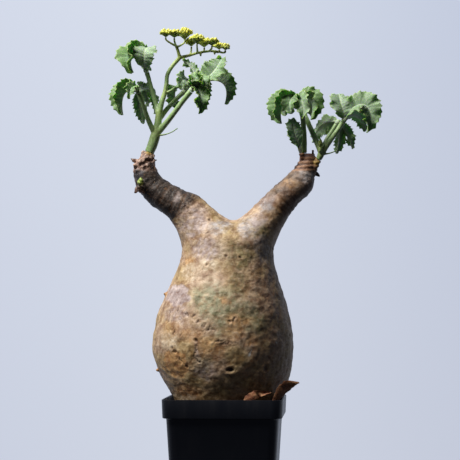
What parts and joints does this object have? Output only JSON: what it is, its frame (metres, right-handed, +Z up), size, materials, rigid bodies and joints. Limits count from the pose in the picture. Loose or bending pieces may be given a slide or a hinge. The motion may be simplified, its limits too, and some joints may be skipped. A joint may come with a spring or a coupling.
{
  "type": "potted cyphostemma",
  "caption": "Bottle-shaped caudex with two arms, green shoots, toothed fleshy leaves and a flat yellow flower cyme, in a square black nursery pot.",
  "frame": {"origin": "centre of the pot's flat base", "axes": "+Z up, +X to the right of the pot's front, +Y to its back"},
  "size_m": [0.206, 0.0971, 0.3771],
  "materials": {
    "pot": "black moulded plastic, semi-matt",
    "soil": "gritty mineral mix",
    "bark": "thin peeling bark, satin in patches",
    "stem": "smooth fleshy green, slightly waxy",
    "leaf": "fleshy, with a pale waxy bloom",
    "flower": "small yellow-green buds, matt",
    "bud": "tender yellow-green, matt",
    "papery": "dry, brown, papery"
  },
  "bodies": {
    "root": {"pot": "pot", "soil": "soil", "caudex": "bark", "left_stem": "stem", "right_stem": "stem", "right_stalk": "stem", "left_leaf_1": "leaf", "left_leaf_2": "leaf", "left_leaf_3": "leaf", "left_leaf_4": "leaf", "right_leaf_1": "leaf", "right_leaf_2": "leaf", "right_leaf_3": "leaf", "right_leaf_4": "leaf", "right_leaf_5": "leaf", "flower_head_1": "flower", "flower_head_2": "flower", "flower_head_3": "flower", "flower_head_4": "flower", "flower_head_5": "flower", "flower_head_6": "flower", "flower_head_7": "flower", "flower_head_8": "flower", "flower_head_9": "flower", "left_bud": "bud", "right_bud": "bud", "dry_scrap_1": "papery", "dry_scrap_2": "papery"}
  },
  "joints": []
}
